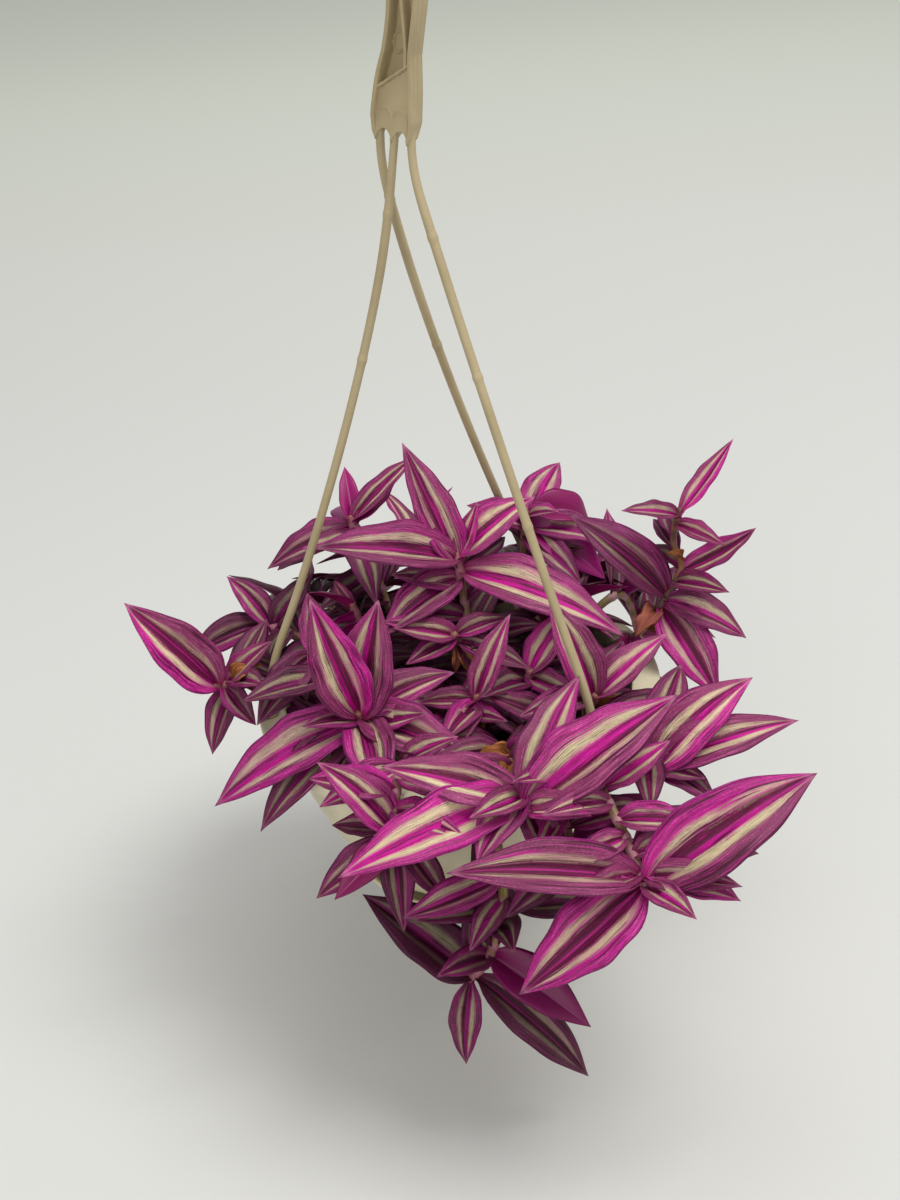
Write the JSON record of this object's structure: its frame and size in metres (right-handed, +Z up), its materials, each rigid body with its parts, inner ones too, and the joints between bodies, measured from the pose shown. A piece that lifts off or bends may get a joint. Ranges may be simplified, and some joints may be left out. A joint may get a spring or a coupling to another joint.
{
  "type": "potted hanging houseplant",
  "caption": "Trailing tradescantia with striped purple leaves in a round plastic hanging pot with a clip-on saucer and a moulded hanger with a hook.",
  "frame": {"origin": "inner crown of the hanger's hook, where the bar that carries the plant touches it", "axes": "+Z up; -Y towards the side that the plant trails over; +X to the right seen from that side"},
  "size_m": [0.2556, 0.2851, 0.4492],
  "materials": {
    "pot": "moulded cream plastic, satin, with a few dust specks",
    "soil": "dark moist potting soil, crumbly and matt",
    "hanger": "moulded beige plastic, satin",
    "leaf": "succulent leaf skin, purple with two pale silver-green stripes, magenta below, finely streaked, slightly glossy"
  },
  "bodies": {
    "root": {"pot": "pot", "saucer": "pot", "soil": "soil", "hanger": "hanger", "stem_crown": "leaf", "stem_left": "leaf", "stem_far_left": "leaf", "stem_left_back": "leaf", "stem_top_left": "leaf", "stem_top_right": "leaf", "stem_tall": "leaf", "stem_right": "leaf", "stem_middle": "leaf", "stem_middle_right": "leaf", "stem_front": "leaf", "stem_lower_right": "leaf", "stem_trailing": "leaf", "stem_lower_left": "leaf", "stem_front_low": "leaf", "stem_outer_1": "leaf", "stem_outer_2": "leaf", "stem_outer_3": "leaf", "stem_outer_4": "leaf", "stem_outer_5": "leaf", "stem_outer_6": "leaf", "stem_inner_1": "leaf", "stem_inner_2": "leaf", "stem_inner_3": "leaf", "stem_inner_4": "leaf"}
  },
  "joints": []
}
